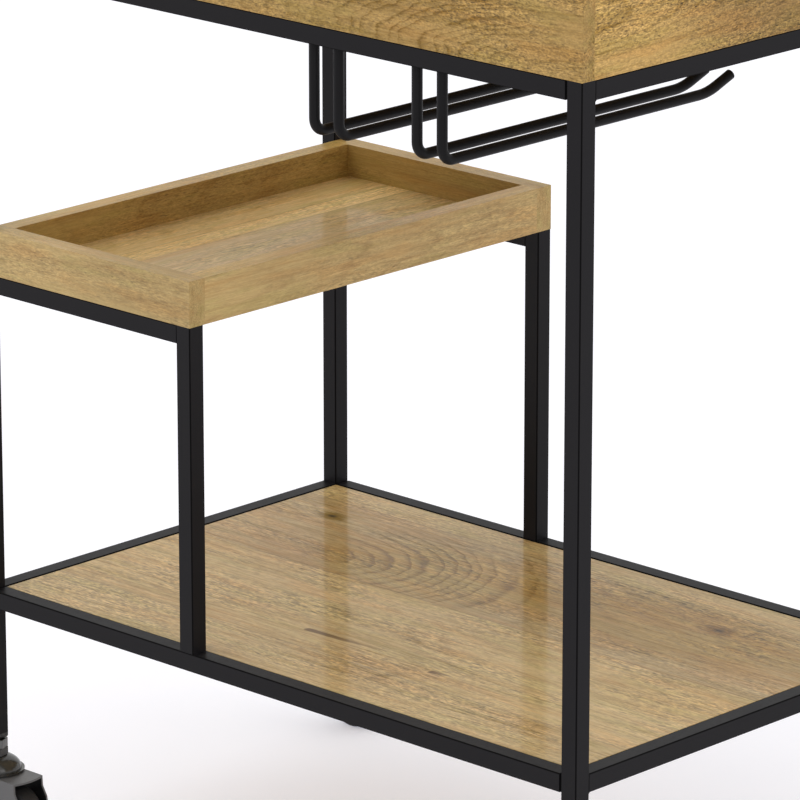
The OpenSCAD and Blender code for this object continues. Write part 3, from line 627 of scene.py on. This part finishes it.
def fillet(bm, start, end, out_a, out_b, leg):
    """A rippled weld bead along start-end in the corner between directions out_a and out_b."""
    run = end - start
    count = max(8, round(run.length / RIPPLE_PITCH * STEPS_PER_RIPPLE))
    corner_shift = (out_a + out_b) * -SINK
    rows = []
    for i in range(count + 1):
        share = i / count
        ripple = 1 + RIPPLE * math.sin(2 * math.pi * share * run.length / RIPPLE_PITCH)
        taper = min(1.0, BEAD_END + 8 * min(share, 1 - share))
        reach = leg * ripple * taper + SINK
        row = [bm.verts.new(start + run * share + corner_shift)]
        for j in range(SECTION + 1):
            turn = math.pi / 2 * j / SECTION
            section = 1 - HOLLOW * math.sin(2 * turn)
            offset = (out_a * math.cos(turn) + out_b * math.sin(turn)) * reach * section
            row.append(bm.verts.new(start + run * share + corner_shift + offset))
        rows.append(row)
    grid_faces(bm, rows, closed=True)
    bm.faces.new(rows[0])
    bm.faces.new(rows[-1])


def collar(bm, centre, down, radius, leg):
    """A rippled weld bead round a bar that meets a flat face, with the bar pointing down."""
    side_a = down.orthogonal().normalized()
    side_b = down.cross(side_a)
    rows = []
    for i in range(COLLAR_STEPS):
        turn = 2 * math.pi * i / COLLAR_STEPS
        ripple = 1 + COLLAR_RIPPLE * math.sin(turn * COLLAR_RIPPLES)
        outward = side_a * math.cos(turn) + side_b * math.sin(turn)
        row = [bm.verts.new(centre + outward * (radius - SINK) - down * SINK)]
        for j in range(SECTION + 1):
            bend = math.pi / 2 * j / SECTION
            reach = (leg * ripple + SINK) * (1 - HOLLOW * math.sin(2 * bend))
            offset = outward * math.cos(bend) * reach + down * math.sin(bend) * reach
            row.append(bm.verts.new(centre + outward * (radius - SINK) - down * SINK + offset))
        rows.append(row)
    rows.append(rows[0])
    grid_faces(bm, rows, closed=True)


WELD_LEG = 2.2 * MM
ROD_WELD_LEG = 0.9 * MM
WELD_WIDTH = 0.94        # part of the tube's width that a bead covers
post_low, post_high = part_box("front_right_post")
tube_side = post_high.x - post_low.x
post_x = (post_low.x + post_high.x) / 2
post_y = -(post_low.y + post_high.y) / 2
inner_y = post_y - tube_side / 2
UP = Vector((0, 0, 1))


def side_frame_welds(side):
    """Beads under the side rails, where they meet the two posts of one end frame."""
    bm = bmesh.new()
    name = "left" if side < 0 else "right"
    centre_x = side * post_x
    for level in ("bottom", "top"):
        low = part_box(f"{level}_{name}_rail")[0]
        for end in (-1, 1):
            inward = Vector((0, -end, 0))
            start = Vector((centre_x - tube_side / 2 * WELD_WIDTH, end * inner_y, low.z))
            finish = Vector((centre_x + tube_side / 2 * WELD_WIDTH, end * inner_y, low.z))
            fillet(bm, start, finish, inward, -UP, WELD_LEG)
    piece(f"welds_{name}_frame", bm, WELD_BLACK, "stand")


def rod_welds():
    """Collars where the rack's rods meet the front rail's underside."""
    bm = bmesh.new()
    rail_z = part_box("top_front_rail")[0].z
    for name in ROD_NAMES:
        low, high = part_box(f"rod_{name}")
        radius = (high.x - low.x) / 2
        centre = Vector(((low.x + high.x) / 2, low.y + radius, rail_z))
        collar(bm, centre, -UP, radius, ROD_WELD_LEG)
    piece("welds_rods", bm, WELD_BLACK, "stand")


side_frame_welds(-1)
side_frame_welds(1)
rod_welds()

RIBS = 8
RIB_THICKNESS = 1.5 * MM
RIB_ROOT = 2.6 * MM      # where a rib leaves the web, from the wheel's middle plane
RIB_CREST = 7.4 * MM
RIB_DIP = 2.2 * MM       # how far the crest dips half way along the rib
RIB_EDGE = 0.3 * MM
RIM_WALL = 4.2 * MM
BOSS_RADIUS = 7.6 * MM


def hub_ribs(corner):
    """Moulded ribs between a wheel's boss and its rim, on both faces of the web."""
    low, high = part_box(f"{corner}_hub")
    centre = (low + high) / 2
    rim_r = (high.x - low.x) / 2 - RIM_WALL
    bm = bmesh.new()
    for face in (-1, 1):
        for i in range(RIBS):
            turn = 2 * math.pi * i / RIBS
            rows = []
            for share in (0.0, 0.2, 0.5, 0.8, 1.0):
                r = BOSS_RADIUS + (rim_r - BOSS_RADIUS) * share
                crest = RIB_CREST - RIB_DIP * math.sin(math.pi * share)
                half = RIB_THICKNESS / 2 * (1 + 0.7 * (2 * share - 1) ** 2)
                section = [(-half * 1.3, RIB_ROOT), (-half * 0.8, crest - RIB_EDGE),
                           (-half * 0.3, crest), (half * 0.3, crest),
                           (half * 0.8, crest - RIB_EDGE), (half * 1.3, RIB_ROOT)]
                row = []
                for t, h in section:
                    x = r * math.cos(turn) - t * math.sin(turn)
                    z = r * math.sin(turn) + t * math.cos(turn)
                    row.append(bm.verts.new(centre + Vector((x, face * h, z))))
                rows.append(row)
            grid_faces(bm, rows)
    piece(f"{corner}_hub_ribs", bm, BLACK_PLASTIC, f"{corner}_wheel")


# Each raised ring on a tyre's side wall: its distance inside the tread, and how far the
# wall falls back there
TYRE_RINGS = ((4.9 * MM, 0.0), (3.6 * MM, 0.06 * MM))
TYRE_RING_STEPS = 96
TYRE_RING_SECTION = 6
TYRE_RING_HALF_WIDTH = 0.4 * MM
TYRE_RING_HEIGHT = 0.35 * MM
TYRE_RING_SINK = 0.1 * MM


def tyre_beads(corner):
    """Two raised rings moulded on each side wall of a tyre."""
    low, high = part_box(f"{corner}_tyre")
    centre = (low + high) / 2
    half = (high.y - low.y) / 2
    outer = (high.x - low.x) / 2
    bm = bmesh.new()
    for face in (-1, 1):
        for inset, fall in TYRE_RINGS:
            rows = []
            for i in range(TYRE_RING_STEPS):
                turn = 2 * math.pi * i / TYRE_RING_STEPS
                row = []
                for j in range(TYRE_RING_SECTION + 1):
                    bend = math.pi * j / TYRE_RING_SECTION
                    r = outer - inset + TYRE_RING_HALF_WIDTH * math.cos(bend)
                    out = half - fall - TYRE_RING_SINK + TYRE_RING_HEIGHT * math.sin(bend)
                    place = Vector((r * math.cos(turn), face * out, r * math.sin(turn)))
                    row.append(bm.verts.new(centre + place))
                rows.append(row)
            rows.append(rows[0])
            grid_faces(bm, rows)
    piece(f"{corner}_tyre_beads", bm, TYRE_RUBBER, f"{corner}_wheel")


for corner in CORNERS:
    hub_ribs(corner)
    tyre_beads(corner)


# ---- Studio ------------------------------------------------------------------------


FLOOR_HALF_SIZE = 30.0
FLOOR_DARK = (0.775, 0.768, 0.775)
FLOOR_LIGHT = (0.795, 0.788, 0.795)
GLOW_COLOUR = (0.955, 0.97, 1.11, 1.0)
FLOOR_GLOW = 0.28     # lifts the cart's shadow, as a lit table does
SKY_STRENGTH = 0.95
LIGHT_AIM = (0, 0, 0.4)
LIGHT_SIZE = 2.4


def studio_floor():
    """A wide pale sheet on the ground, with the faint mottling of painted board."""
    bm = bmesh.new()
    bmesh.ops.create_grid(bm, x_segments=8, y_segments=8, size=FLOOR_HALF_SIZE)
    mesh = bpy.data.meshes.new("floor")
    bm.to_mesh(mesh)
    bm.free()
    floor = bpy.data.objects.new("floor", mesh)
    bpy.context.scene.collection.objects.link(floor)
    g = Graph("studio_floor")
    mottle = g.noise(g.place, 6.0, 3.0, 0.5)
    g.set(Base_Color=g.ramp(mottle, [(0.3, FLOOR_DARK), (0.7, FLOOR_LIGHT)]))
    g.set(Roughness=0.9, Specular_IOR_Level=0.1)
    g.set(Emission_Color=GLOW_COLOUR, Emission_Strength=FLOOR_GLOW)
    mesh.materials.append(g.material)


def area_light(name, place, watts):
    """A square light that looks at the middle of the cart."""
    light = bpy.data.lights.new(name, "AREA")
    light.shape = "SQUARE"
    light.size = LIGHT_SIZE
    light.energy = watts
    lamp = bpy.data.objects.new(name, light)
    lamp.location = place
    lamp.rotation_euler = (Vector(LIGHT_AIM) - Vector(place)).to_track_quat("-Z", "Y").to_euler()
    bpy.context.scene.collection.objects.link(lamp)


def studio_light():
    """An even white sky with a key light at the left and a fill light at the right."""
    world = bpy.data.worlds.new("studio")
    world.use_nodes = True
    background = world.node_tree.nodes["Background"]
    background.inputs["Color"].default_value = (1.0, 1.0, 1.0, 1.0)
    background.inputs["Strength"].default_value = SKY_STRENGTH
    bpy.context.scene.world = world
    area_light("key", (-1.6, -2.4, 3.2), 28.0)
    area_light("fill", (3.4, -0.6, 2.2), 20.0)


# The camera stands in front of the cart's right end and looks down at the aim point
CAMERA_AIM = Vector((-0.0259, -0.0300, 0.4226))
CAMERA_TURN = math.radians(43.700)
CAMERA_PITCH = math.radians(16.580)
CAMERA_DISTANCE = 4.8919
CAMERA_LENS = 262.09
CAMERA_SENSOR = 36.0


def camera():
    data = bpy.data.cameras.new("camera")
    data.lens = CAMERA_LENS
    data.sensor_width = CAMERA_SENSOR
    data.clip_start, data.clip_end = 0.1, 100.0
    thing = bpy.data.objects.new("camera", data)
    back = Vector((
        math.sin(CAMERA_TURN) * math.cos(CAMERA_PITCH),
        -math.cos(CAMERA_TURN) * math.cos(CAMERA_PITCH),
        math.sin(CAMERA_PITCH),
    ))
    thing.location = CAMERA_AIM + back * CAMERA_DISTANCE
    thing.rotation_euler = (-back).to_track_quat("-Z", "Y").to_euler()
    bpy.context.scene.collection.objects.link(thing)
    bpy.context.scene.camera = thing


studio_floor()
studio_light()
camera()
bpy.context.scene.view_settings.view_transform = "Standard"
bpy.context.scene.view_settings.look = "None"
